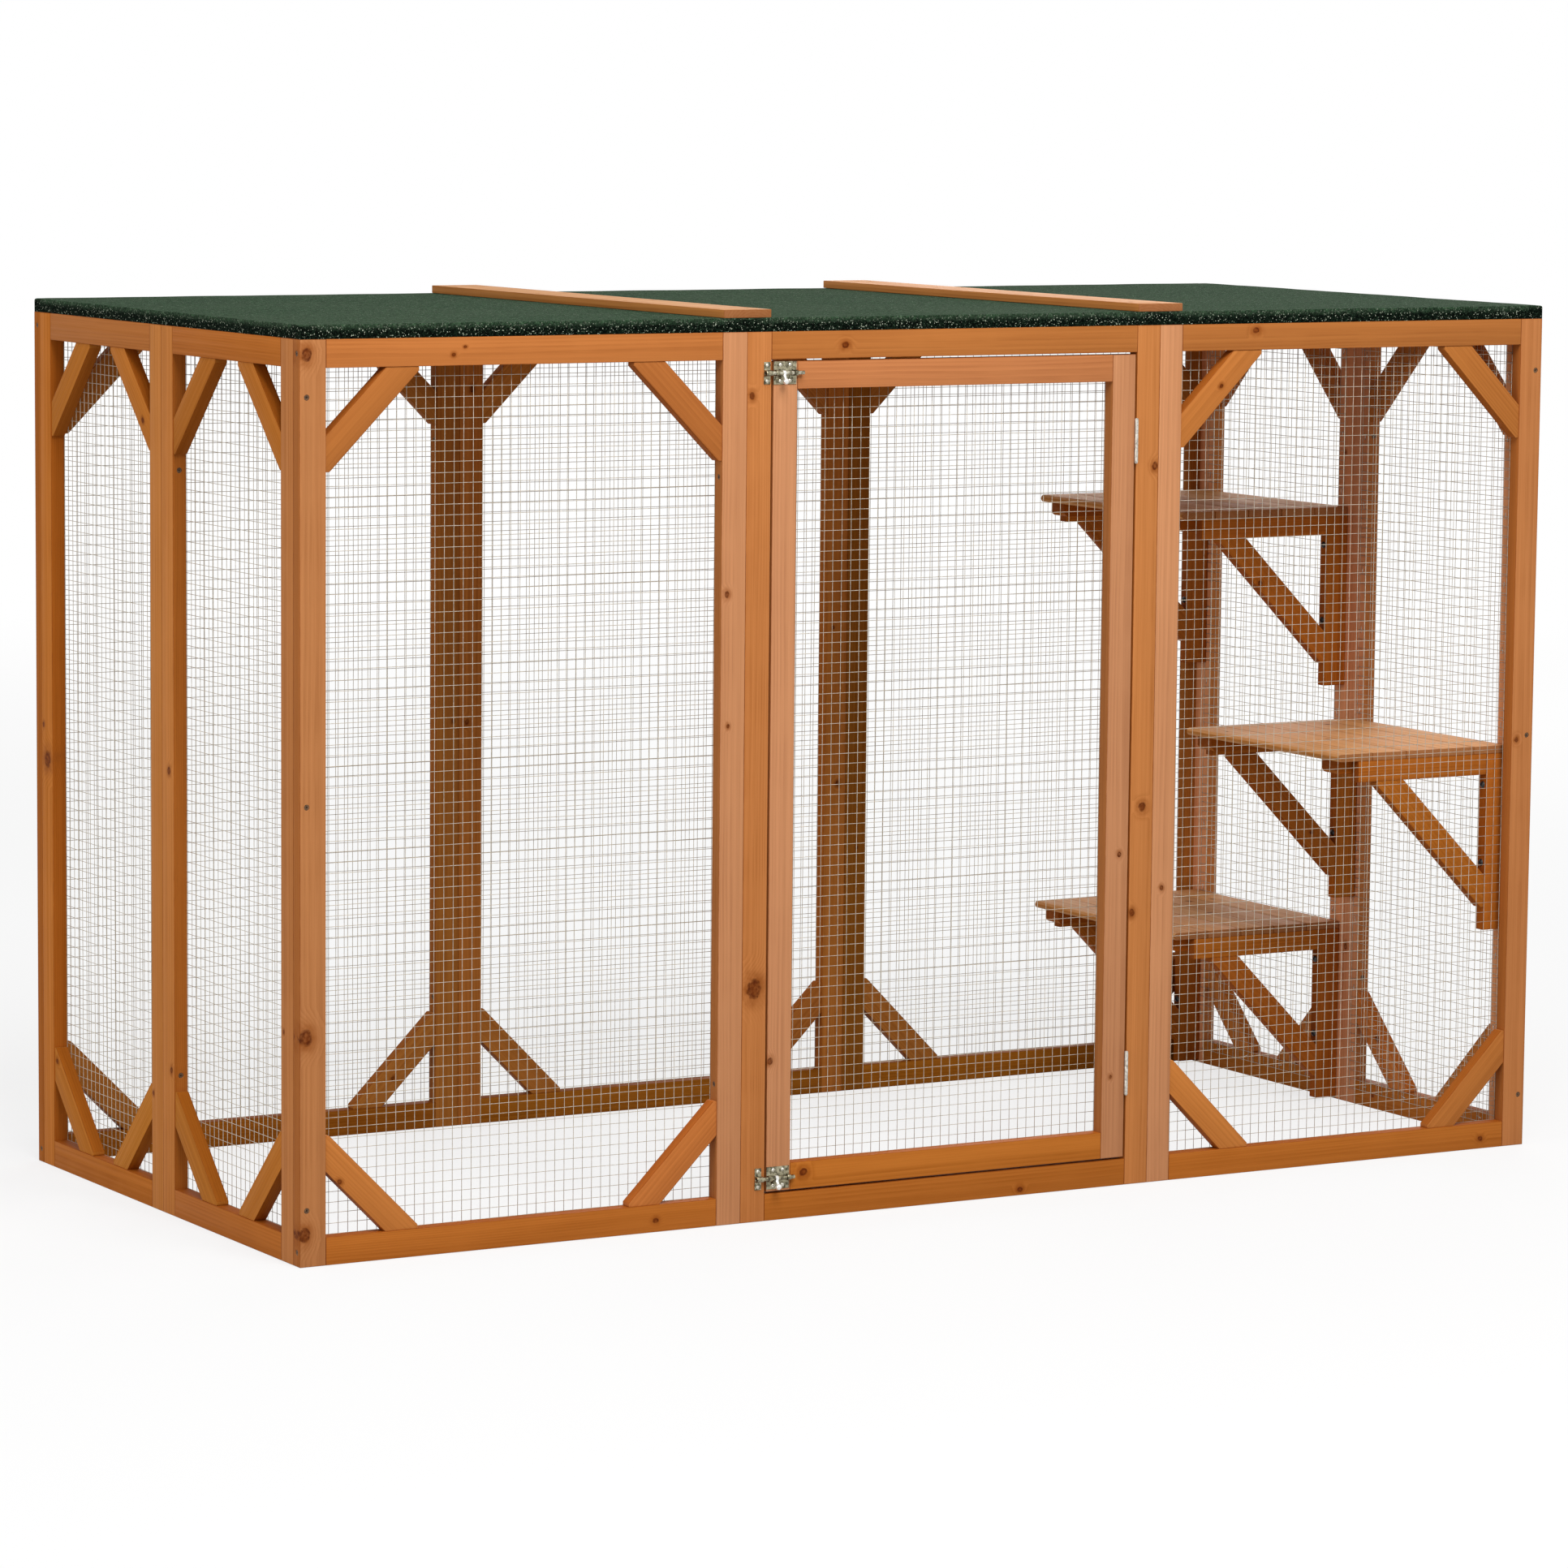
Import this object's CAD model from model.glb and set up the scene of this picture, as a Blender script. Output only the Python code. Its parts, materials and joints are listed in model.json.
import json
import math
import random

import bmesh
import bpy
from mathutils import Matrix, Vector


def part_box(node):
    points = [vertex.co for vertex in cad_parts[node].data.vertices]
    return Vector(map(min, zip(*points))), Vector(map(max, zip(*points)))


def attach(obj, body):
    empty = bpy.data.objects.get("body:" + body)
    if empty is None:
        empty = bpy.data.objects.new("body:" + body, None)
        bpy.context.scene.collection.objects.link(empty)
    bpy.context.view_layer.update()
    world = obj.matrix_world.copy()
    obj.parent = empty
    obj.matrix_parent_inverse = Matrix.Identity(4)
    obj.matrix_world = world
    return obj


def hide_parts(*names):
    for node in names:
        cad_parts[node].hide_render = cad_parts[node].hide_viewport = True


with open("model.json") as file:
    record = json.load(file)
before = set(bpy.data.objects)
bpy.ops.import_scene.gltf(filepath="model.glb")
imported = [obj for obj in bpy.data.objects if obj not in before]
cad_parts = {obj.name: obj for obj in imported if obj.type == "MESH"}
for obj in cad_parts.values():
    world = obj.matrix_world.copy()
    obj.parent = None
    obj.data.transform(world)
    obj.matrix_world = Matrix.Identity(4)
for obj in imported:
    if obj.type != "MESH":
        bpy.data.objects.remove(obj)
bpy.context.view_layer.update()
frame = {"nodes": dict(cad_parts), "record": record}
NODES = frame["nodes"]
BODY_OF = {n: body for body, nodes in frame["record"]["behaviour"]["bodies"].items() for n in nodes}
MM = 0.001
SCENE = bpy.context.scene

# Solids are put in order by the whole millimetre of their centres. The shift, in millimetres, keeps
# every centre away from where the rounding turns.
KEY_SHIFT = 0.19

# Sizes of what is added to the solids, in metres
TIMBER_EDGE = 0.8 * MM
BOARD_EDGE = 0.4 * MM
METAL_EDGE = 0.22 * MM
LONGEST_HOLE_EDGE = 4 * MM
FELT_EDGE = 2.5 * MM
FELT_WAVE = 0.12 * MM
FELT_GRID = (40, 52)
WIRE_CELL = 12.7 * MM
WIRE_R = 0.37 * MM
WIRE_WOBBLE = 0.35 * MM
STAPLE_PITCH = 95 * MM
STAPLE_LENGTH = 9 * MM
STAPLE_R = 0.5 * MM
STAPLE_INSET = 7 * MM
SCREW_TIP = 5 * MM
SHELF_SCREW_DOME = 3 * MM
SHELF_SCREW_SHANK_R = 2 * MM
SMALL_SCREW_R = 2.3 * MM
SMALL_SCREW_DOME = 0.9 * MM
SMALL_SCREW_SHANK_R = 1.2 * MM
SMALL_SCREW_LENGTH = 3 * MM
SMALL_SCREW_TIP = 1 * MM
DOME_STEPS = 6

# Thickness of the bolts' plates and keepers, on which the heads of their screws stand
PLATE_T = 1 * MM

# The length and width of a cross recess as shares of its screw head's width, its bottom as a share of its
# top, and a wood screw's shank as a share of its head
CROSS_LENGTH = 0.62
CROSS_WIDTH = 0.17
CROSS_TAPER = 0.45
SHANK_SHARE = 0.5

# Screws of the bolts: the node, its body, their columns as shares of its width, and how far they are
# above and below its middle
SMALL_SCREW_ROWS = [
    ("bolt_plates", "door", (0.30, 0.72), 9.6 * MM),
    ("bolt_keepers", "cage", (0.5,), 9.4 * MM),
]

# Scattered knots: metres of timber for each, how far they lie along and across it as shares of its half
# sizes, and their radii. A timber with fewer knots than the material reads has the rest far outside it.
KNOT_SPACING = 0.8
KNOT_ALONG, KNOT_ACROSS = 0.9, 0.8
KNOT_SMALLEST, KNOT_LARGEST = 1.5 * MM, 3.2 * MM
NO_KNOT = (9.0, 9.0, 3 * MM)

# A turned box round a solid replaces the best one so far where its volume is below this share of it
TIGHTER = 0.95

# Camera, solved from the photograph: its place from the cage's front left bottom corner, in metres,
# and its turns in degrees. The focal length is in pixels of the 1932 pixel frame.
PHOTO_SIDE = 1932
CAMERA_FROM_CORNER = Vector((-3.0216, -6.3648, 1.4355))
CAMERA_YAW = 30.025
CAMERA_PITCH = 6.913
CAMERA_ROLL = 0.542
CAMERA_FOCAL = 7421
SENSOR = 36.0

# Knots that the photograph shows, in millimetres from the cage's front left bottom corner:
# the node, the place along X or Y, the height and the radius
SEEN_KNOTS = [
    ("front_left_stiles", 9, 1082, 5.5),
    ("front_left_stiles", 8, 276, 7.0),
    ("front_left_stiles", 6, 39, 6.0),
    ("front_left_stiles", 574, 781, 3.0),
    ("front_left_rails", 216, 1088, 1.4),
    ("front_left_rails", 201, 1079, 1.8),
    ("door_frame_stiles", 617, 292, 8.5),
    ("door_frame_stiles", 607, 1022, 3.2),
    ("door_frame_stiles", 1195, 922, 3.6),
    ("door_frame_stiles", 1184, 487, 4.2),
    ("door_frame_stiles", 1171, 352, 3.4),
    ("door_frame_rails", 738, 1082, 3.4),
    ("door_rails", 690, 57, 4.0),
    ("front_right_rails", 1346, 1091, 3.4),
    ("front_right_stiles", 1216, 381, 2.4),
    ("front_right_stiles", 1774, 545, 2.6),
    ("left_rear_stiles", 752, 528, 7.5),
    ("left_front_stiles", 374, 554, 3.4),
    ("left_front_stiles", 368, 182, 3.0),
]

# Stain that the photograph shows: the share of a timber's value and of its saturation. The lowest rails
# are deeper. Single timbers are given by node, place along X or Y and height, as the knots are, and
# some nodes have one stain throughout.
LOW_RAIL_TOP = 75 * MM
LOW_RAIL_TONE = (0.80, 1.04)
TONE_REACH = 60 * MM
SEEN_TONES = [
    ("front_left_stiles", 583, 550, 1.10, 0.94),
    ("door_frame_stiles", 617, 550, 0.94, 1.04),
    ("door_frame_stiles", 1183, 550, 0.95, 1.04),
    ("front_right_stiles", 1217, 550, 1.10, 0.93),
    ("front_right_stiles", 1783, 550, 0.92, 1.02),
    ("front_right_rails", 1500, 1083, 0.84, 1.00),
    ("left_rear_rails", 582, 1083, 0.92, 1.00),
    ("left_front_rails", 206, 1083, 0.82, 1.04),
    ("left_rear_stiles", 753, 550, 0.92, 1.10),
    ("left_rear_stiles", 411, 550, 0.92, 1.06),
    ("left_front_stiles", 377, 550, 0.92, 1.06),
    ("left_front_stiles", 35, 550, 0.94, 1.03),
    ("back_left_stiles", 583, 550, 0.95, 1.00),
    ("back_centre_stiles", 617, 550, 1.16, 1.00),
    ("back_centre_stiles", 1183, 550, 1.24, 1.00),
    ("back_right_stiles", 1217, 550, 0.68, 1.03),
    ("door_rails", 900, 54, 0.96, 1.04),
    ("door_rails", 900, 1046, 1.12, 0.95),
]
NODE_TONES = {"door_stiles": (1.10, 0.93), "right_front_stiles": (1.25, 0.93),
              "right_rear_stiles": (1.25, 0.93)}


def srgb(r, g, b):
    """A colour given in 0 to 255 display values, as linear light."""
    def linear(c):
        c = c / 255
        return c / 12.92 if c <= 0.04045 else ((c + 0.055) / 1.055) ** 2.4
    return (linear(r), linear(g), linear(b), 1.0)


# Shader helpers

class Shader:
    """Builds a node material, one short call for each node."""

    def __init__(self, name):
        self.material = bpy.data.materials.new(name)
        self.material.use_nodes = True
        self.tree = self.material.node_tree
        self.tree.nodes.clear()
        self.output = self.tree.nodes.new("ShaderNodeOutputMaterial")
        self.surface = self.tree.nodes.new("ShaderNodeBsdfPrincipled")
        self.tree.links.new(self.surface.outputs["BSDF"], self.output.inputs["Surface"])

    def put(self, socket, value):
        if isinstance(value, bpy.types.NodeSocket):
            self.tree.links.new(value, socket)
        else:
            socket.default_value = value

    def node(self, kind, values=(), **settings):
        n = self.tree.nodes.new("ShaderNode" + kind)
        for key, value in settings.items():
            setattr(n, key, value)
        for key, value in dict(values).items():
            self.put(n.inputs[key], value)
        return n

    def math(self, operation, a, b=0.0, clamp=False):
        return self.node("Math", {0: a, 1: b}, operation=operation, use_clamp=clamp).outputs[0]

    def vector(self, operation, a, b=(0, 0, 0)):
        n = self.node("VectorMath", {0: a, 1: b}, operation=operation)
        return n.outputs["Value" if operation == "LENGTH" else "Vector"]

    def attribute(self, name):
        return self.node("Attribute", attribute_name=name).outputs["Vector"]

    def split(self, vector):
        n = self.node("SeparateXYZ", {0: vector})
        return n.outputs[0], n.outputs[1], n.outputs[2]

    def noise(self, vector, scale, detail=2.0, rough=0.5, distortion=0.0):
        values = {"Vector": vector, "Scale": scale, "Detail": detail, "Roughness": rough,
                  "Distortion": distortion}
        return self.node("TexNoise", values).outputs["Fac"]

    def cells(self, vector, scale):
        n = self.node("TexVoronoi", {"Vector": vector, "Scale": scale})
        return n.outputs["Distance"], n.outputs["Color"]

    def smooth(self, value, low, high, to_low=0.0, to_high=1.0):
        values = {"Value": value, "From Min": low, "From Max": high, "To Min": to_low, "To Max": to_high}
        return self.node("MapRange", values, interpolation_type="SMOOTHSTEP").outputs["Result"]

    def mix(self, factor, a, b, blend="MIX"):
        n = self.node("Mix", data_type="RGBA", blend_type=blend)
        self.put(n.inputs["Factor"], factor)
        self.put(n.inputs["A"], a)
        self.put(n.inputs["B"], b)
        return n.outputs["Result"]

    def bump(self, height, strength, distance):
        values = {"Height": height, "Strength": strength, "Distance": distance}
        self.put(self.surface.inputs["Normal"], self.node("Bump", values).outputs["Normal"])

    def finish(self, **values):
        names = {"colour": "Base Color", "roughness": "Roughness", "metallic": "Metallic",
                 "specular": "Specular IOR Level"}
        for key, value in values.items():
            self.put(self.surface.inputs[names[key]], value)
        return self.material


# Materials

KNOTS = ("knot_a", "knot_b", "knot_c")
NARROW_STAIN = (0.80, 0.66, 0.42, 1.0)
LATE_WOOD, STREAKS, FIBRES, PATCHES = 0.42, 0.34, 0.22, 0.26
RING_BEND = 24 * MM
PITH_SPREAD, PITH_DEPTH, PITH_NEAREST = 60 * MM, 50 * MM, 22 * MM
NARROW_FACE = (0.45 * MM, 0.1 * MM)
STAINED_EDGE = (0.9 * MM, 0.2 * MM)
STAINED_END = (1.2 * MM, 0.3 * MM)
SCRATCH = (0.9, 0.89, 0.86, 1.0)
SLATE_CELLS, GRIT_CELLS = 620.0, 1000.0


def shaded(colour, *shares):
    """A colour with its red, green and blue each times a share."""
    return tuple(min(1.0, c * m) for c, m in zip(colour[:3], shares)) + (1.0,)


def wood(name, mean, ring=2.6 * MM, contrast=0.58, gloss=0.05, rough=0.6):
    """Stained softwood: fine straight fibres, faint rings, soft knots, and stain gathered at the edges."""
    s = Shader(name)
    light, dark = shaded(mean, 1.16, 1.16, 1.16), shaded(mean, 0.66, 0.54, 0.42)
    at, half, seed = s.attribute("grain"), s.attribute("half"), s.attribute("seed")
    seed_x, seed_y, seed_z = s.split(seed)
    tone_value, tone_depth, _ = s.split(s.attribute("tone"))
    shift = s.vector("SCALE", seed)
    shift.node.inputs["Scale"].default_value = 7.0
    shifted = s.vector("ADD", at, shift)

    # Knots: each attribute holds the distance along, the distance across and the radius
    pull, core, rim, smudge = 0.0, 0.0, 0.0, 0.0
    ragged = s.math("SUBTRACT", s.noise(shifted, 150.0, 3.0), 0.5)
    for knot_name in KNOTS:
        along, across, radius = s.split(s.attribute(knot_name))
        wobble = s.math("MULTIPLY", ragged, s.math("MULTIPLY", radius, 1.1))
        ratio = s.vector("LENGTH", s.node("CombineXYZ", {
            0: s.math("DIVIDE", s.math("MULTIPLY", along, 0.8), radius),
            1: s.math("DIVIDE", s.math("ADD", across, wobble), radius)}).outputs[0])
        pull = s.math("ADD", pull, s.math("MULTIPLY", s.smooth(ratio, 4.5, 0.0), radius))
        core = s.math("MAXIMUM", core, s.smooth(ratio, 1.2, 0.7))
        ring_here = s.math("MULTIPLY", s.smooth(ratio, 1.35, 1.05), s.smooth(ratio, 0.45, 0.85))
        rim = s.math("MAXIMUM", rim, ring_here)
        smudge = s.math("MAXIMUM", smudge, s.smooth(ratio, 3.2, 0.8))

    # Rings round a pith that lies beside the piece, bent a little and swept round the knots
    x, y, z = s.split(at)
    low = s.math("SUBTRACT", s.noise(s.vector("MULTIPLY", shifted, (1.2, 8.0, 8.0)), 1.0, 3.0), 0.5)
    bend = s.math("MULTIPLY", low, RING_BEND)
    pith_y = s.math("MULTIPLY", s.math("SUBTRACT", seed_x, 0.5), PITH_SPREAD)
    pith_z = s.math("ADD", s.math("MULTIPLY", seed_y, PITH_DEPTH), PITH_NEAREST)
    dy = s.math("ADD", s.math("SUBTRACT", y, pith_y), bend)
    dz = s.math("ADD", z, pith_z)
    depth = s.vector("LENGTH", s.node("CombineXYZ", {0: dy, 1: dz}).outputs[0])
    depth = s.math("ADD", depth, s.math("MULTIPLY", pull, 1.7))
    turn = s.math("FRACT", s.math("DIVIDE", depth, ring))
    late = s.math("MULTIPLY", s.smooth(turn, 0.2, 0.9), s.smooth(turn, 1.0, 0.92))
    late = s.math("MULTIPLY", late, s.smooth(s.noise(shifted, 14.0), 0.3, 0.65, 0.3, 1.0))

    fibre = s.noise(s.vector("MULTIPLY", shifted, (12.0, 900.0, 900.0)), 1.0, 2.0, 0.6)
    streak = s.noise(s.vector("MULTIPLY", shifted, (1.6, 190.0, 190.0)), 1.0, 3.0, 0.6)
    patch = s.noise(s.vector("MULTIPLY", shifted, (2.2, 18.0, 18.0)), 1.0, 2.0)
    streaks = s.math("MULTIPLY", s.smooth(streak, 0.3, 0.72), STREAKS)
    grain = s.math("ADD", s.math("MULTIPLY", late, LATE_WOOD), streaks)
    grain = s.math("ADD", grain, s.math("MULTIPLY", s.smooth(fibre, 0.3, 0.72), FIBRES))
    grain = s.math("ADD", grain, s.math("MULTIPLY", s.smooth(patch, 0.3, 0.7), PATCHES))
    colour = s.mix(s.math("MULTIPLY", grain, contrast, clamp=True), light, dark)

    # Each timber has its own shade
    shade = s.math("ADD", s.math("MULTIPLY", s.math("SUBTRACT", seed_z, 0.5), 0.2), 1.0)
    shade = s.math("MULTIPLY", shade, tone_value)
    hue = s.math("ADD", s.math("MULTIPLY", s.math("SUBTRACT", seed_x, 0.5), 0.005), 0.5)
    tone = s.node("HueSaturation", {"Hue": hue, "Saturation": tone_depth, "Value": shade, "Color": colour})
    colour = tone.outputs["Color"]

    # The narrow faces took more stain, and it gathers along the edges and in the end grain
    red_brown = shaded(dark, 0.55, 0.32, 0.25)
    hx, hy, hz = s.split(half)
    from_side = s.math("SUBTRACT", hy, s.math("ABSOLUTE", y))
    narrow = s.smooth(from_side, *NARROW_FACE)
    colour = s.mix(narrow, colour, s.mix(1.0, colour, NARROW_STAIN, "MULTIPLY"))
    edge_y = s.smooth(from_side, *STAINED_EDGE)
    edge_z = s.smooth(s.math("SUBTRACT", hz, s.math("ABSOLUTE", z)), *STAINED_EDGE)
    edge = s.math("MULTIPLY", edge_y, edge_z)
    edge = s.math("MULTIPLY", edge, s.smooth(s.noise(shifted, 60.0), 0.3, 0.7, 0.25, 0.65))
    colour = s.mix(edge, colour, red_brown)
    end = s.smooth(s.math("SUBTRACT", hx, s.math("ABSOLUTE", x)), *STAINED_END)
    colour = s.mix(s.math("MULTIPLY", end, 0.6), colour, red_brown)

    # Knots are brown smudges with a darker, uneven heart
    smoke = s.math("MULTIPLY", smudge, s.smooth(s.noise(shifted, 75.0, 3.0), 0.3, 0.7, 0.35, 0.95))
    colour = s.mix(smoke, colour, shaded(dark, 0.80, 0.64, 0.36))
    heart = s.math("MULTIPLY", core, s.smooth(s.noise(shifted, 260.0, 3.0), 0.3, 0.7, 0.45, 0.95))
    colour = s.mix(heart, colour, shaded(dark, 0.40, 0.24, 0.12))
    bark = s.math("MULTIPLY", rim, s.smooth(s.noise(shifted, 190.0, 3.0), 0.3, 0.7, 0.15, 0.85))
    colour = s.mix(bark, colour, shaded(dark, 0.22, 0.10, 0.06))

    height = s.math("ADD", s.math("MULTIPLY", late, 0.4), s.math("MULTIPLY", fibre, 0.6))
    height = s.math("SUBTRACT", height, s.math("MULTIPLY", core, 0.4))
    s.bump(height, 0.25, 0.2 * MM)
    uneven = s.smooth(streak, 0.3, 0.7, rough - 0.07, rough + 0.07)
    return s.finish(colour=colour, roughness=uneven, specular=gloss)


def metal(name, light, dark, rough=0.38, grain=240.0, scratches=0.0, shine=0.9):
    """Plated steel: a mottled plating, a little dulled, with fine scratches where asked."""
    s = Shader(name)
    at = s.node("TexCoord").outputs["Object"]
    patch = s.noise(at, grain, 4.0, 0.6)
    fine = s.noise(at, grain * 9, 2.0)
    colour = s.mix(s.smooth(patch, 0.3, 0.7), dark, light)
    line = s.noise(s.vector("MULTIPLY", at, (grain * 3, grain * 14, grain * 14)), 1.0, 2.0)
    colour = s.mix(s.math("MULTIPLY", s.smooth(line, 0.62, 0.75), scratches), colour, SCRATCH)
    s.bump(s.math("ADD", fine, patch), 0.25, 0.08 * MM)
    uneven = s.smooth(patch, 0.3, 0.7, rough - 0.1, rough + 0.12)
    return s.finish(colour=colour, roughness=uneven, metallic=shine)


def felt():
    """Green mineral felt: packed slate grains on top, darker with a few pale grains down the edges."""
    s = Shader("mineral_felt")
    at = s.node("TexCoord").outputs["Object"]
    distance, tone = s.cells(at, SLATE_CELLS)
    grit, fine_tone = s.cells(at, GRIT_CELLS)
    pick, second, _ = s.split(tone)
    fine_pick, fine_second, fine_third = s.split(fine_tone)
    top = s.mix(s.smooth(pick, 0.2, 0.8), srgb(41, 61, 43), srgb(65, 93, 67))
    top = s.mix(s.smooth(second, 0.82, 0.97), top, srgb(92, 108, 88))
    top = s.mix(s.smooth(fine_pick, 0.94, 0.99), top, srgb(150, 158, 142))
    patch = s.noise(at, 95.0, 3.0, 0.6)
    top = s.mix(s.smooth(patch, 0.34, 0.66, 0.0, 0.5), top, srgb(29, 42, 30))
    clump = s.noise(at, 230.0, 2.0, 0.6)
    top = s.mix(s.smooth(clump, 0.44, 0.6, 0.0, 0.6), top, srgb(20, 32, 22))
    cloud = s.noise(at, 6.0, 3.0, 0.6)
    top = s.mix(s.smooth(cloud, 0.3, 0.7, 0.0, 0.18), top, srgb(74, 86, 70))
    side = s.mix(s.smooth(pick, 0.35, 0.85), srgb(5, 9, 6), srgb(18, 30, 21))
    side = s.mix(s.smooth(fine_third, 0.955, 0.98), side, srgb(168, 176, 156))
    side = s.mix(s.smooth(fine_second, 0.94, 0.99, 0.0, 0.6), side, srgb(74, 94, 74))
    up = s.split(s.node("NewGeometry").outputs["Normal"])[2]
    colour = s.mix(s.smooth(up, 0.35, 0.8), side, top)
    height = s.math("SUBTRACT", 1.0, s.math("ADD", distance, s.math("MULTIPLY", grit, 0.5)))
    s.bump(height, 0.8, 0.5 * MM)
    return s.finish(colour=colour, roughness=0.97, specular=0.02)


def paint(name, colour, rough):
    s = Shader(name)
    at = s.node("TexCoord").outputs["Object"]
    fleck = s.noise(at, 700.0, 3.0)
    lighter = tuple(min(1.0, c * 1.9 + 0.01) for c in colour[:3]) + (1.0,)
    mixed = s.mix(s.smooth(fleck, 0.45, 0.75), colour, lighter)
    s.bump(fleck, 0.2, 0.05 * MM)
    return s.finish(colour=mixed, roughness=rough, metallic=0.0)


STILE = wood("stile_wood", srgb(193, 128, 79))
BACK_STILE = wood("back_stile_wood", srgb(180, 114, 50), contrast=0.75)
RAIL = wood("rail_wood", srgb(190, 118, 60))
BRACE = wood("brace_wood", srgb(184, 113, 55), ring=3.2 * MM)
SIDE_BRACE = wood("side_brace_wood", srgb(178, 110, 40), ring=3.2 * MM)
SHELF = wood("shelf_wood", srgb(206, 151, 98), ring=3.0 * MM)
BRACKET = wood("bracket_wood", srgb(178, 104, 36), contrast=0.7)
BATTEN = wood("batten_wood", srgb(198, 143, 93), ring=3.6 * MM, contrast=0.7)
BOARD = wood("roof_board_wood", srgb(170, 112, 66), ring=5 * MM, contrast=0.4)
GALVANISED = metal("galvanised_wire", srgb(202, 191, 173), srgb(170, 160, 143), rough=0.5, shine=0.5)
ZINC = metal("zinc_plate", srgb(224, 221, 212), srgb(170, 166, 154), rough=0.36, scratches=0.4, shine=0.7)
OLIVE_ZINC = metal("passivated_zinc", srgb(178, 171, 143), srgb(58, 53, 36), rough=0.3, grain=230.0,
                   scratches=0.3)
BRIGHT_ZINC = metal("bright_zinc", srgb(212, 207, 188), srgb(120, 114, 92), rough=0.28, grain=230.0,
                    scratches=0.3)
KNOB = metal("polished_knob", srgb(250, 250, 247), srgb(216, 214, 205), rough=0.2, shine=0.55)
SCREW_WOOD = metal("wood_screw", srgb(126, 92, 60), srgb(42, 24, 14), rough=0.6, grain=420.0, shine=0.15)
SCREW_BRIGHT = metal("bright_screw", srgb(232, 229, 218), srgb(170, 164, 146), rough=0.28, grain=900.0)
BLACK = paint("black_screw", srgb(22, 21, 20), 0.42)
FELT = felt()


# Geometry read from the solids

def islands(node):
    """The separate solids of a node, each as a small mesh in its own bmesh."""
    whole = bmesh.new()
    whole.from_mesh(NODES[node].data)
    bmesh.ops.remove_doubles(whole, verts=whole.verts, dist=1e-6)
    whole.verts.ensure_lookup_table()
    seen, found = set(), []
    for start in whole.verts:
        if start in seen:
            continue
        group, edge = {start}, [start]
        while edge:
            v = edge.pop()
            for e in v.link_edges:
                other = e.other_vert(v)
                if other not in group:
                    group.add(other)
                    edge.append(other)
        seen |= group
        part = bmesh.new()
        copy = {v: part.verts.new(v.co) for v in sorted(group, key=lambda v: v.index)}
        faces = {f for v in group for f in v.link_faces}
        for f in sorted(faces, key=lambda f: f.index):
            part.faces.new([copy[v] for v in f.verts])
        found.append(part)
    whole.free()
    centres = [sum((v.co for v in p.verts), Vector()) / len(p.verts) for p in found]
    order = sorted(range(len(found)), key=lambda i: tuple(round(c / MM + KEY_SHIFT) for c in centres[i]))
    return [found[i] for i in order]


def span(points):
    """The lowest and the highest corner of the box round some points."""
    low = Vector([min(p[i] for p in points) for i in range(3)])
    high = Vector([max(p[i] for p in points) for i in range(3)])
    return low, high


def round_edges(part, edges, width, segments=2, profile=0.6):
    bmesh.ops.bevel(part, geom=edges, offset=width, segments=segments, profile=profile, affect="EDGES",
                    clamp_overlap=True)


def sharp_edges(part, degrees):
    return [e for e in part.edges
            if len(e.link_faces) == 2 and e.calc_face_angle(0) > math.radians(degrees)]


TRIAL_TURNS = [Matrix.Identity(3)] + [Matrix.Rotation(math.radians(45), 3, axis) for axis in "XY"]


def own_axes(part):
    """The tightest box round a solid: its centre, its axes from longest to shortest and its half sizes."""
    best = None
    points = [v.co for v in part.verts]
    for turn in TRIAL_TURNS:
        low, high = span([turn.transposed() @ p for p in points])
        size = high - low
        volume = size.x * size.y * size.z
        if best is None or volume < TIGHTER * best[0]:
            best = (volume, turn, (low + high) / 2, size / 2)
    _, turn, centre, half = best
    order = sorted(range(3), key=lambda i: -half[i])
    axes = [turn.col[i].copy() for i in order]
    return turn @ centre, axes, Vector([half[i] for i in order])


def new_piece(name, mesh, material, node=None, body=None):
    """Links a mesh as a piece that rides on a body, in place of a node where one is named."""
    obj = bpy.data.objects.new(name, mesh)
    SCENE.collection.objects.link(obj)
    if not mesh.materials:
        mesh.materials.append(material)
    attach(obj, body or BODY_OF[node])
    if node:
        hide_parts(node)
    return obj


def soften(part, width):
    """Rounds the long straight edges of a solid and leaves those of its drilled holes."""
    bmesh.ops.dissolve_limit(part, angle_limit=math.radians(1), verts=part.verts, edges=part.edges)
    long = [e for e in sharp_edges(part, 30) if e.calc_length() > LONGEST_HOLE_EDGE]
    round_edges(part, long, width)


def smooth_mesh(mesh, angle=35):
    mesh.shade_smooth()
    mesh.set_sharp_from_angle(angle=math.radians(angle))


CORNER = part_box("front_left_stiles")[0]


def stain_of(node, centre):
    """The share of value and of saturation that a timber's stain has."""
    if node in NODE_TONES:
        return NODE_TONES[node]
    axis = 1 if node.startswith("left") else 0
    for name, place, height, value, depth in SEEN_TONES:
        along = centre[axis] - CORNER[axis] - place * MM
        if name == node and max(abs(along), abs(centre.z - height * MM)) < TONE_REACH:
            return (value, depth)
    return LOW_RAIL_TONE if node.endswith("_rails") and centre.z < LOW_RAIL_TOP else (1.0, 1.0)


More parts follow.
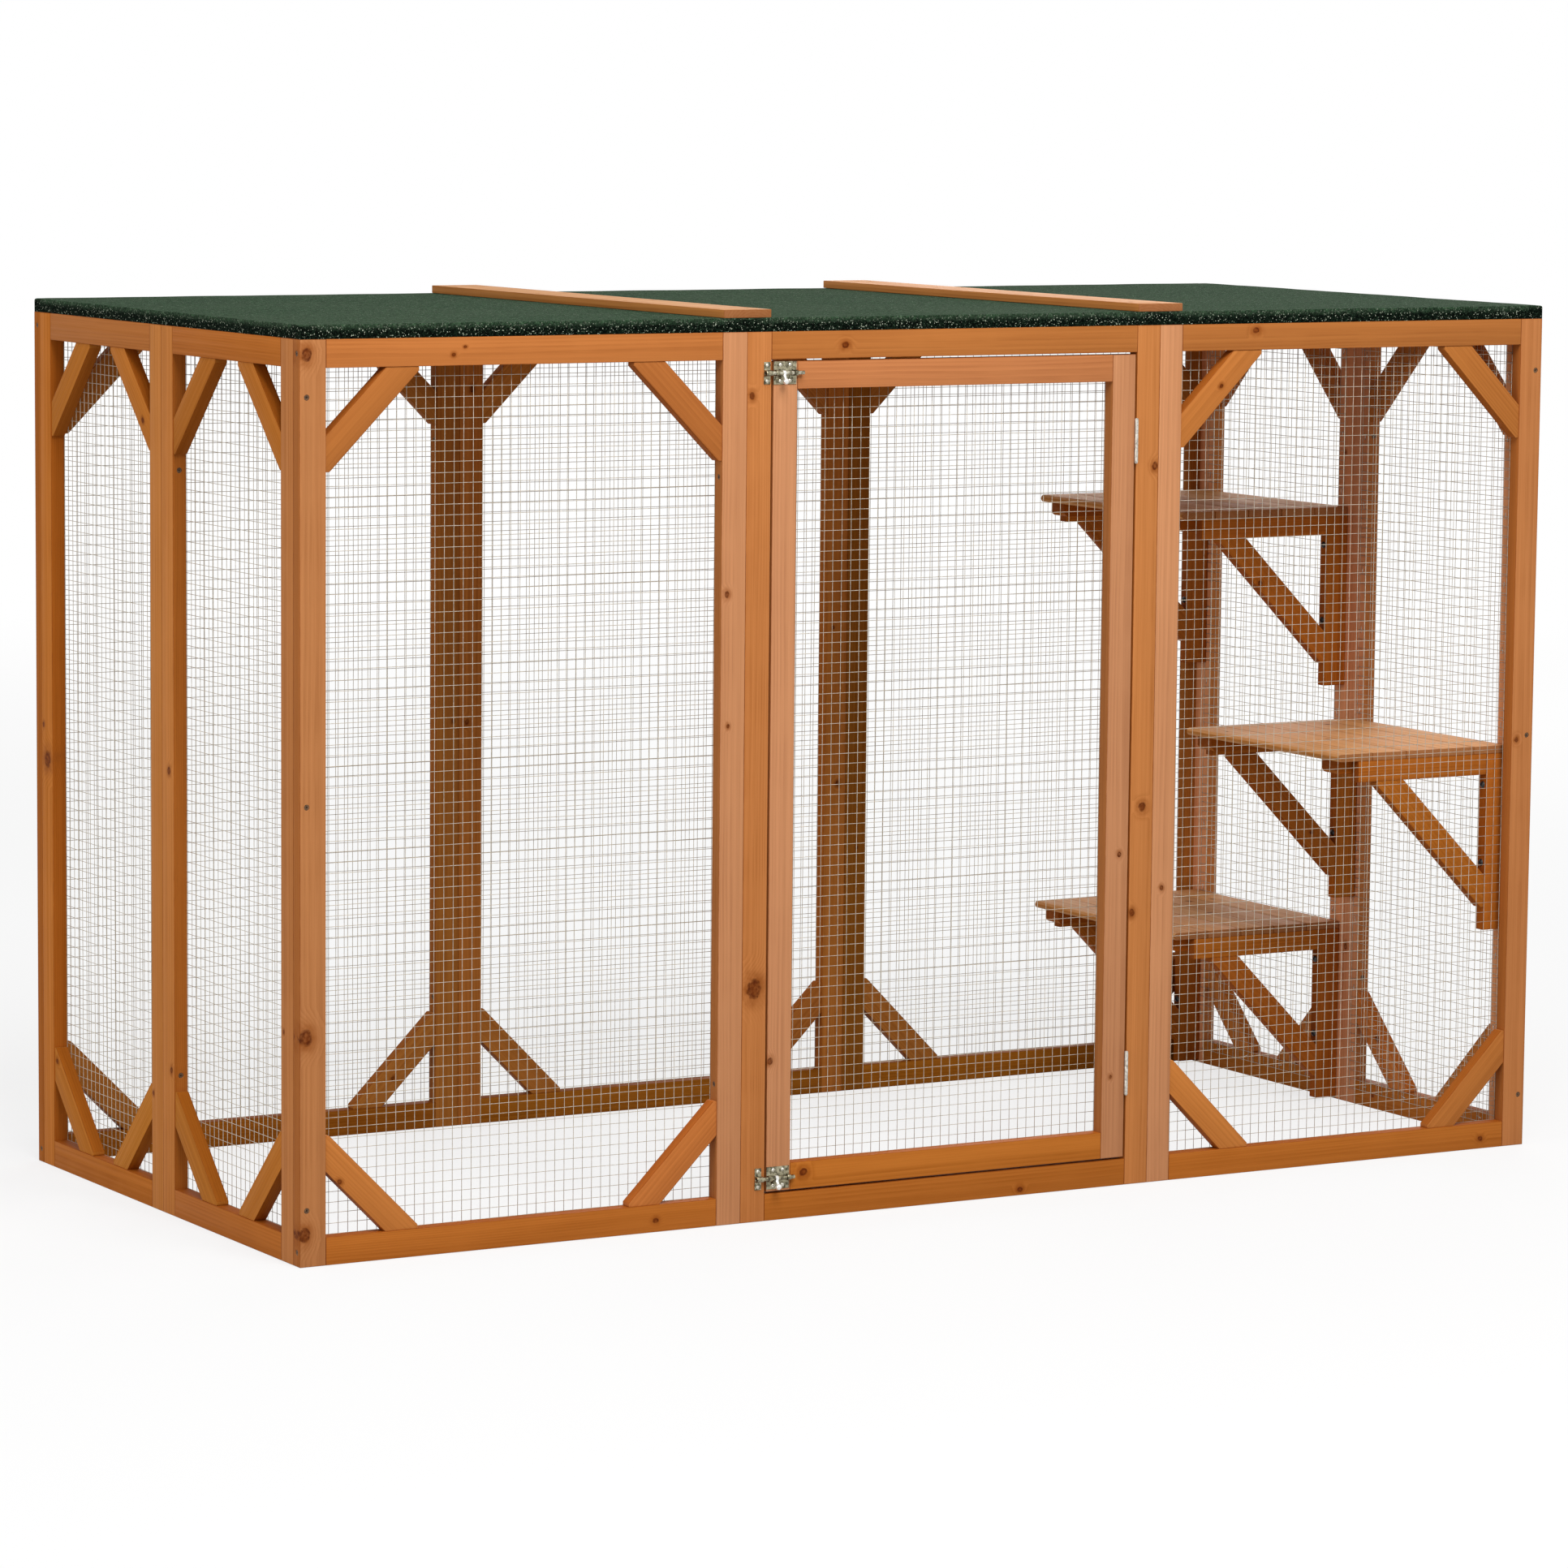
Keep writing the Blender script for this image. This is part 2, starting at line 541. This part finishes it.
def knots_for(node, centre, axes, half, rng):
    """Up to three knots of one timber: those that the photograph shows first, then scattered ones."""
    found = []
    for name, place, height, radius in SEEN_KNOTS:
        if name != node:
            continue
        on_side = node.startswith("left")
        point = centre.copy()
        point[1 if on_side else 0] = (CORNER.y if on_side else CORNER.x) + place * MM
        point.z = height * MM
        offset = point - centre
        if all(abs(offset.dot(axes[i])) <= half[i] + MM for i in (0, 1)):
            found.append((offset.dot(axes[0]), offset.dot(axes[1]), radius * MM))
    wanted = int(half[0] * 2 / KNOT_SPACING + rng.random())
    while len(found) < min(wanted, len(KNOTS)):
        found.append((rng.uniform(-KNOT_ALONG, KNOT_ALONG) * half[0],
                      rng.uniform(-KNOT_ACROSS, KNOT_ACROSS) * half[1],
                      rng.uniform(KNOT_SMALLEST, KNOT_LARGEST)))
    return found[:len(KNOTS)]


def dress_wood(node, material, edge=TIMBER_EDGE, knots=True):
    """A node's timbers with softened edges, each with the values that the wood material reads."""
    rng = random.Random(node)
    verts, faces, values = [], [], {n: [] for n in ("grain", "half", "seed", "tone") + KNOTS}
    for part in islands(node):
        centre, axes, half = own_axes(part)
        found = knots_for(node, centre, axes, half, rng) if knots else []
        soften(part, edge)
        seed = (rng.random(), rng.random(), rng.random())
        tone = stain_of(node, centre) + (0.0,)
        first = len(verts)
        part.verts.index_update()
        for v in part.verts:
            local = [(v.co - centre).dot(a) for a in axes]
            verts.append(tuple(v.co))
            values["grain"].extend(local)
            values["half"].extend(half)
            values["seed"].extend(seed)
            values["tone"].extend(tone)
            for i, name in enumerate(KNOTS):
                place = found[i] if i < len(found) else NO_KNOT
                values[name].extend((local[0] - place[0], local[1] - place[1], place[2]))
        faces.extend([first + v.index for v in f.verts] for f in part.faces)
        part.free()
    mesh = bpy.data.meshes.new(node + "_wood")
    mesh.from_pydata(verts, [], faces)
    for name, data in values.items():
        mesh.attributes.new(name, "FLOAT_VECTOR", "POINT").data.foreach_set("vector", data)
    smooth_mesh(mesh)
    return new_piece(node + "_wood", mesh, material, node)


# Wire mesh

def tube(bm, points, radius, sides=6):
    """A thin closed tube through points, its rings square to the line between its ends."""
    along = (points[-1] - points[0]).normalized()
    side = along.orthogonal().normalized()
    other = along.cross(side)
    rings = []
    for p in points:
        ring = []
        for k in range(sides):
            turn = 2 * math.pi * k / sides
            ring.append(bm.verts.new(p + radius * (math.cos(turn) * side + math.sin(turn) * other)))
        rings.append(ring)
    for a, b in zip(rings, rings[1:]):
        for k in range(sides):
            bm.faces.new((a[k], a[(k + 1) % sides], b[(k + 1) % sides], b[k]))
    bm.faces.new(rings[0][::-1])
    bm.faces.new(rings[-1])


def wire_line(start, end, sideways, rng, steps=9):
    """Points of one wire, gently out of true."""
    waves = [(rng.uniform(0.3, 1.0), rng.uniform(0, 6.3), rng.choice((1, 2, 3))) for _ in range(2)]
    points = []
    for i in range(steps + 1):
        t = i / steps
        drift = sum(a * math.sin(p + n * math.pi * t) for a, p, n in waves) * WIRE_WOBBLE
        points.append(start.lerp(end, t) + sideways * drift * math.sin(math.pi * t))
    return points


def dress_mesh(node):
    """Welded square mesh in the space of a net: upright wires on one side, level wires on the other."""
    rng = random.Random(node)
    low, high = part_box(node)
    middle = (low + high) / 2
    thin = min(range(3), key=lambda i: (high - low)[i])
    across = 1 - thin
    lift = (high[thin] - low[thin]) / 2 - WIRE_R
    bm = bmesh.new()
    for run, step in ((2, across), (across, 2)):
        length = high[step] - low[step] - 2 * (WIRE_R + WIRE_WOBBLE * 2)
        count = round(length / WIRE_CELL)
        sideways = Vector((0, 0, 0))
        sideways[step] = 1
        depth = middle[thin] + (lift if run == 2 else -lift)
        for i in range(count + 1):
            start, end = Vector((0, 0, 0)), Vector((0, 0, 0))
            start[thin] = end[thin] = depth
            start[step] = end[step] = middle[step] - length / 2 + i * length / count
            start[run], end[run] = low[run], high[run]
            tube(bm, wire_line(start, end, sideways, rng), WIRE_R)
    mesh = bpy.data.meshes.new(node + "_wires")
    bm.to_mesh(mesh)
    bm.free()
    mesh.shade_smooth()
    return new_piece(node + "_wires", mesh, GALVANISED, node)


def staples(node, face):
    """Staples over the edge wires of a sheet, on the side away from the timber: face is -1 or 1."""
    rng = random.Random("staples" + node)
    low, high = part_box(node)
    thin = min(range(3), key=lambda i: (high - low)[i])
    across = 1 - thin
    depth = (high if face > 0 else low)[thin] - face * STAPLE_R
    bm = bmesh.new()
    for run, step in ((2, across), (across, 2)):
        count = round((high[run] - low[run]) / STAPLE_PITCH)
        for side in (low[step] + STAPLE_INSET, high[step] - STAPLE_INSET):
            for i in range(count):
                at = low[run] + (i + 0.5 + rng.uniform(-0.15, 0.15)) * (high[run] - low[run]) / count
                tilt = rng.uniform(-0.4, 0.4)
                centre, reach = Vector((0, 0, 0)), Vector((0, 0, 0))
                centre[thin], centre[step], centre[run] = depth, side, at
                reach[step] = math.sin(tilt) * STAPLE_LENGTH / 2
                reach[run] = math.cos(tilt) * STAPLE_LENGTH / 2
                tube(bm, [centre - reach, centre + reach], STAPLE_R)
    mesh = bpy.data.meshes.new(node + "_staples")
    bm.to_mesh(mesh)
    bm.free()
    mesh.shade_smooth()
    return new_piece(node + "_staples", mesh, ZINC, body=BODY_OF[node])


# Screws

def lathe(profile, sides=24):
    """A solid of revolution about Z from (radius, height) points, both ends on the axis."""
    bm = bmesh.new()
    rings = []
    for r, h in profile:
        if r == 0:
            rings.append([bm.verts.new((0, 0, h))])
        else:
            turns = [2 * math.pi * k / sides for k in range(sides)]
            rings.append([bm.verts.new((r * math.cos(t), r * math.sin(t), h)) for t in turns])
    for a, b in zip(rings, rings[1:]):
        for k in range(sides):
            n = (k + 1) % sides
            if len(a) == 1:
                bm.faces.new((a[0], b[n], b[k]))
            elif len(b) == 1:
                bm.faces.new((a[k], a[n], b[0]))
            else:
                bm.faces.new((a[k], a[n], b[n], b[k]))
    bmesh.ops.recalc_face_normals(bm, faces=bm.faces)
    mesh = bpy.data.meshes.new("lathe")
    bm.to_mesh(mesh)
    bm.free()
    return mesh


def cross_cut(mesh, head_r, top, depth):
    """Cuts a cross recess into the middle of a screw's head, whose top is at a height, looking down -Z."""
    cutter = bmesh.new()
    for turn in (0, math.pi / 2):
        made = bmesh.ops.create_cube(cutter, size=1.0)["verts"]
        place = Matrix.Translation((0, 0, top)) @ Matrix.Rotation(turn, 4, "Z")
        shape = Matrix.Diagonal((head_r * 2 * CROSS_LENGTH, head_r * 2 * CROSS_WIDTH, depth * 2, 1))
        bmesh.ops.transform(cutter, matrix=place @ shape, verts=made)
        for v in made:
            if v.co.z > top:
                continue
            v.co.x *= CROSS_TAPER
            v.co.y *= CROSS_TAPER
    tool_mesh = bpy.data.meshes.new("cross")
    cutter.to_mesh(tool_mesh)
    cutter.free()
    tool = bpy.data.objects.new("cross", tool_mesh)
    body = bpy.data.objects.new("head", mesh)
    for o in (tool, body):
        SCENE.collection.objects.link(o)
    cut = body.modifiers.new("cut", "BOOLEAN")
    cut.operation = "DIFFERENCE"
    cut.object = tool
    cut.solver = "EXACT"
    cut.use_self = True
    bpy.context.view_layer.update()
    done = bpy.data.meshes.new_from_object(body.evaluated_get(bpy.context.evaluated_depsgraph_get()))
    for o in (tool, body):
        bpy.data.objects.remove(o)
    return done


def countersunk(head_r, shank_r, length, cone, tip):
    """A countersunk screw hanging down -Z from its flat head at zero."""
    profile = [(0, 0), (head_r * 0.9, 0), (head_r, -0.12 * cone), (shank_r, -cone)]
    profile += [(shank_r, tip - length), (0, -length)]
    return cross_cut(lathe(profile), head_r, 0.0, cone * 0.8)


def round_headed(head_r, head_h, shank_r, length, tip):
    """A domed screw hanging down -Z, its dome above zero."""
    bulge = (head_r ** 2 + head_h ** 2) / (2 * head_h)
    profile = [(0, head_h)]
    for i in range(1, DOME_STEPS + 1):
        r = head_r * i / DOME_STEPS
        profile.append((r, head_h - bulge + math.sqrt(bulge ** 2 - r ** 2)))
    profile += [(head_r, 0), (shank_r, -0.05 * MM), (shank_r, tip - length), (0, -length)]
    return cross_cut(lathe(profile), head_r, head_h, head_h * 0.8)


def screw_places(node):
    """Each screw of a node: where its head is, which way it points out, its length and its head's radius."""
    places = []
    for part in islands(node):
        points = [v.co for v in part.verts]
        low, high = span(points)
        run = max(range(3), key=lambda i: (high - low)[i])
        other = (run + 1) % 3
        widest = max(points, key=lambda p: abs(p[other] - (low[other] + high[other]) / 2))
        outward = 1 if widest[run] > (low[run] + high[run]) / 2 else -1
        head = (low + high) / 2
        head[run] = high[run] if outward > 0 else low[run]
        direction = Vector((0, 0, 0))
        direction[run] = outward
        places.append((head, direction, (high - low)[run], (high - low)[other] / 2))
        part.free()
    return places


def scatter(name, base_for, places, material, node=None, body=None):
    """One piece that holds a copy of a small mesh at each place, each turned at random about its own axis."""
    rng = random.Random(name)
    bm = bmesh.new()
    for place in places:
        turn = place[1].to_track_quat("Z", "Y").to_matrix().to_4x4()
        spin = Matrix.Rotation(rng.uniform(0, math.pi), 4, "Z")
        first = len(bm.verts)
        bm.from_mesh(base_for(place))
        bm.verts.ensure_lookup_table()
        bmesh.ops.transform(bm, matrix=Matrix.Translation(place[0]) @ turn @ spin, verts=bm.verts[first:])
    mesh = bpy.data.meshes.new(name)
    bm.to_mesh(mesh)
    bm.free()
    smooth_mesh(mesh, 30)
    return new_piece(name, mesh, material, node, body)


def dress_wood_screws(node):
    """Countersunk screws with a cross recess, their cone at 90 degrees."""
    made = {}

    def base(place):
        key = round(place[2], 4)
        if key not in made:
            head_r = place[3]
            shank_r = head_r * SHANK_SHARE
            made[key] = countersunk(head_r, shank_r, place[2], head_r - shank_r, SCREW_TIP)
        return made[key]

    return scatter(node + "_cross", base, screw_places(node), SCREW_WOOD, node)


def dress_shelf_screws(node):
    dome = SHELF_SCREW_DOME
    places = [(head - out * dome, out, length - dome, r) for head, out, length, r in screw_places(node)]
    base = round_headed(places[0][3], dome, SHELF_SCREW_SHANK_R, places[0][2], SCREW_TIP)
    return scatter(node + "_cross", lambda place: base, places, BLACK, node)


def small_screws():
    """The screws of the bolt plates and keepers, two rows each, and their heads' slight domes."""
    base = round_headed(SMALL_SCREW_R, SMALL_SCREW_DOME, SMALL_SCREW_SHANK_R, SMALL_SCREW_LENGTH,
                        SMALL_SCREW_TIP)
    out = Vector((0, -1, 0))
    for node, body, columns, rise in SMALL_SCREW_ROWS:
        places = []
        for part in islands(node):
            low, high = span([v.co for v in part.verts])
            face = high.y - PLATE_T
            for c in columns:
                for up in (-rise, rise):
                    x = low.x + c * (high.x - low.x)
                    places.append((Vector((x, face, (low.z + high.z) / 2 + up)), out))
            part.free()
        scatter(node + "_screws", lambda place: base, places, SCREW_BRIGHT, body=body)


# Roofing felt

def dress_felt(node):
    """The felt caps with rounded upper edges and a slightly uneven surface, kept inside their solids."""
    rng = random.Random(node)
    verts, faces = [], []
    for part in islands(node):
        low, high = span([v.co for v in part.verts])
        cap = bmesh.new()
        nx, ny = FELT_GRID
        phase = [rng.uniform(0, 6.3) for _ in range(6)]
        grid = []
        for i in range(nx + 1):
            column = []
            for j in range(ny + 1):
                x = low.x + (high.x - low.x) * i / nx
                y = low.y + (high.y - low.y) * j / ny
                wave = math.sin(x * 31 + phase[0]) * math.sin(y * 23 + phase[1])
                wave += 0.6 * math.sin(x * 57 + y * 41 + phase[2])
                wave += 0.5 * math.sin(y * 83 - x * 19 + phase[3])
                column.append(cap.verts.new((x, y, high.z - FELT_WAVE * (2.1 + wave))))
            grid.append(column)
        for i in range(nx):
            for j in range(ny):
                cap.faces.new((grid[i][j], grid[i + 1][j], grid[i + 1][j + 1], grid[i][j + 1]))
        rim = [e for e in cap.edges if e.is_boundary]
        made = bmesh.ops.extrude_edge_only(cap, edges=rim)["geom"]
        for v in (g for g in made if isinstance(g, bmesh.types.BMVert)):
            v.co.z = low.z
        upper = [e for e in rim if e.is_valid]
        round_edges(cap, upper, FELT_EDGE, segments=3, profile=0.5)
        bmesh.ops.recalc_face_normals(cap, faces=cap.faces)
        first = len(verts)
        cap.verts.index_update()
        verts.extend(tuple(v.co) for v in cap.verts)
        faces.extend([first + v.index for v in f.verts] for f in cap.faces)
        cap.free()
        part.free()
    mesh = bpy.data.meshes.new(node + "_skin")
    mesh.from_pydata(verts, [], faces)
    mesh.shade_smooth()
    return new_piece(node + "_skin", mesh, FELT, node)


def dress_metal(node, material):
    """A node's metal pieces with their sharp edges broken, as pressed and turned steel has them."""
    whole = bmesh.new()
    for part in islands(node):
        bmesh.ops.dissolve_limit(part, angle_limit=math.radians(1), verts=part.verts, edges=part.edges)
        round_edges(part, sharp_edges(part, 40), METAL_EDGE)
        single = bpy.data.meshes.new("part")
        part.to_mesh(single)
        part.free()
        whole.from_mesh(single)
        bpy.data.meshes.remove(single)
    mesh = bpy.data.meshes.new(node + "_metal")
    whole.to_mesh(mesh)
    whole.free()
    smooth_mesh(mesh, 30)
    return new_piece(node + "_metal", mesh, material, node)


# The cage

WOOD_OF = {"_stiles": STILE, "_rails": RAIL, "_braces": BRACE, "_planks": SHELF}
for node in sorted(NODES):
    for ending, material in WOOD_OF.items():
        if node.endswith(ending):
            if node.startswith("back_"):
                material = BACK_STILE
            elif node == "left_wall_braces":
                material = SIDE_BRACE
            dress_wood(node, material)
for node in ("shelf_battens", "shelf_arms", "shelf_legs", "shelf_struts"):
    dress_wood(node, BRACKET)
dress_wood("roof_battens", BATTEN)
for node in ("roof_board_left", "roof_board_centre", "roof_board_right"):
    dress_wood(node, BOARD, edge=BOARD_EDGE, knots=False)
dress_felt("roof_felts")

# The wire lies against the timber's inner faces, so its staples are inside; the back wall's are outside
STAPLE_SIDE = {"front": 1, "door": 1, "left": 1, "right": -1, "back": 1}
for node in sorted(NODES):
    if node.endswith("_mesh"):
        dress_mesh(node)
        staples(node, STAPLE_SIDE[node.split("_")[0]])

for node in ("hinge_frame_leaves", "hinge_door_leaves", "hinge_pins"):
    dress_metal(node, ZINC)
for node in ("bolt_plates", "bolt_keepers", "bottom_bolt_rod"):
    dress_metal(node, OLIVE_ZINC)
dress_metal("top_bolt_rod", BRIGHT_ZINC)
for node in ("top_bolt_knob", "bottom_bolt_knob"):
    dress_metal(node, KNOB)
small_screws()
dress_wood_screws("wood_screws")
dress_wood_screws("door_screws")
dress_shelf_screws("shelf_screws")


# Floor, light and camera

FLOOR_NEAR, FLOOR_FAR = 3.0, 8.0
FLOOR_GLOW, FLOOR_SHOWN = 0.76, 0.20
FLOOR_CARD = 0.45
FLOOR_HALF_SIDE = 30
FLOOR_DROP = 0.5 * MM
WORLD_LIGHT = 0.40
CAMERA_CLIP = (0.1, 100)

# Lamps: name, place, width and height, and power in watts. Each looks at a point near the cage's middle.
LAMP_TARGET = Vector((0, 0, 0.5))
LAMPS = [
    ("key", (-0.78, -4.43, 5.86), (4.0, 4.0), 412),
    ("left_side", (-12.0, -1.5, 2.6), (5.0, 4.0), 420),
    ("back_fill", (4.2, 4.6, 3.0), (3.0, 3.0), 90),
]


def seen_directly(tree):
    """1 for rays that show the background: from the camera, in a reflection or through glass."""
    path = tree.nodes.new("ShaderNodeLightPath")
    seen = path.outputs["Is Camera Ray"]
    for ray in ("Is Glossy Ray", "Is Transmission Ray"):
        either = tree.nodes.new("ShaderNodeMath")
        either.operation = "MAXIMUM"
        tree.links.new(seen, either.inputs[0])
        tree.links.new(path.outputs[ray], either.inputs[1])
        seen = either.outputs[0]
    return seen


def plain_floor():
    """A white floor that shows the shadow near the object, and lights it like mid grey card."""
    s = Shader("floor_white")
    s.tree.nodes.remove(s.surface)
    away = s.vector("LENGTH", s.node("TexCoord").outputs["Object"])
    glow = s.smooth(away, FLOOR_NEAR, FLOOR_FAR, FLOOR_GLOW, 1.0)
    left = s.smooth(away, FLOOR_NEAR, FLOOR_FAR, FLOOR_SHOWN, 0.0)
    shade = s.node("BsdfDiffuse", {"Color": s.node("CombineColor", {0: left, 1: left, 2: left}).outputs[0]})
    light = s.node("Emission", {"Color": (1, 1, 1, 1), "Strength": glow})
    shown = s.node("AddShader", {0: shade.outputs[0], 1: light.outputs[0]}).outputs[0]
    card = s.node("BsdfDiffuse", {"Color": (FLOOR_CARD, FLOOR_CARD, FLOOR_CARD, 1)}).outputs[0]
    mixed = s.node("MixShader", {0: seen_directly(s.tree), 1: card, 2: shown}).outputs[0]
    s.tree.links.new(mixed, s.output.inputs["Surface"])
    bm = bmesh.new()
    bmesh.ops.create_grid(bm, x_segments=1, y_segments=1, size=FLOOR_HALF_SIDE)
    mesh = bpy.data.meshes.new("floor")
    bm.to_mesh(mesh)
    bm.free()
    mesh.materials.append(s.material)
    floor = bpy.data.objects.new("floor", mesh)
    floor.location.z = -FLOOR_DROP
    SCENE.collection.objects.link(floor)


def world_light():
    world = bpy.data.worlds.new("studio")
    SCENE.world = world
    world.use_nodes = True
    tree = world.node_tree
    tree.nodes.clear()
    soft, white = (tree.nodes.new("ShaderNodeBackground") for _ in range(2))
    soft.inputs["Color"].default_value = (1, 1, 1, 1)
    soft.inputs["Strength"].default_value = WORLD_LIGHT
    white.inputs["Color"].default_value = (1, 1, 1, 1)
    white.inputs["Strength"].default_value = 1.0
    mix = tree.nodes.new("ShaderNodeMixShader")
    out = tree.nodes.new("ShaderNodeOutputWorld")
    tree.links.new(seen_directly(tree), mix.inputs[0])
    tree.links.new(soft.outputs[0], mix.inputs[1])
    tree.links.new(white.outputs[0], mix.inputs[2])
    tree.links.new(mix.outputs[0], out.inputs[0])


def area_light(name, place, size, watts):
    data = bpy.data.lights.new(name, "AREA")
    data.shape = "RECTANGLE"
    data.size, data.size_y = size
    data.energy = watts
    lamp = bpy.data.objects.new(name, data)
    SCENE.collection.objects.link(lamp)
    lamp.location = place
    lamp.rotation_euler = (LAMP_TARGET - Vector(place)).to_track_quat("-Z", "Y").to_euler()


def photo_camera():
    """The camera at the photograph's place, with its yaw towards +X, its pitch down and its slight roll."""
    yaw, pitch, roll = (math.radians(a) for a in (CAMERA_YAW, CAMERA_PITCH, CAMERA_ROLL))
    level = Vector((math.sin(yaw), math.cos(yaw), 0))
    right = Vector((math.cos(yaw), -math.sin(yaw), 0))
    up = Vector((0, 0, 1))
    ahead = level * math.cos(pitch) - up * math.sin(pitch)
    above = up * math.cos(pitch) + level * math.sin(pitch)
    rolled_right = right * math.cos(roll) + above * math.sin(roll)
    rolled_up = above * math.cos(roll) - right * math.sin(roll)
    data = bpy.data.cameras.new("photo_camera")
    data.sensor_width = SENSOR
    data.lens = CAMERA_FOCAL * SENSOR / PHOTO_SIDE
    data.clip_start, data.clip_end = CAMERA_CLIP
    camera = bpy.data.objects.new("photo_camera", data)
    SCENE.collection.objects.link(camera)
    turn = Matrix((rolled_right, rolled_up, -ahead)).transposed()
    place = CORNER + CAMERA_FROM_CORNER
    camera.matrix_world = Matrix.Translation(place) @ turn.to_4x4()
    SCENE.camera = camera


plain_floor()
world_light()
for lamp in LAMPS:
    area_light(*lamp)
photo_camera()
SCENE.view_settings.view_transform = "Standard"
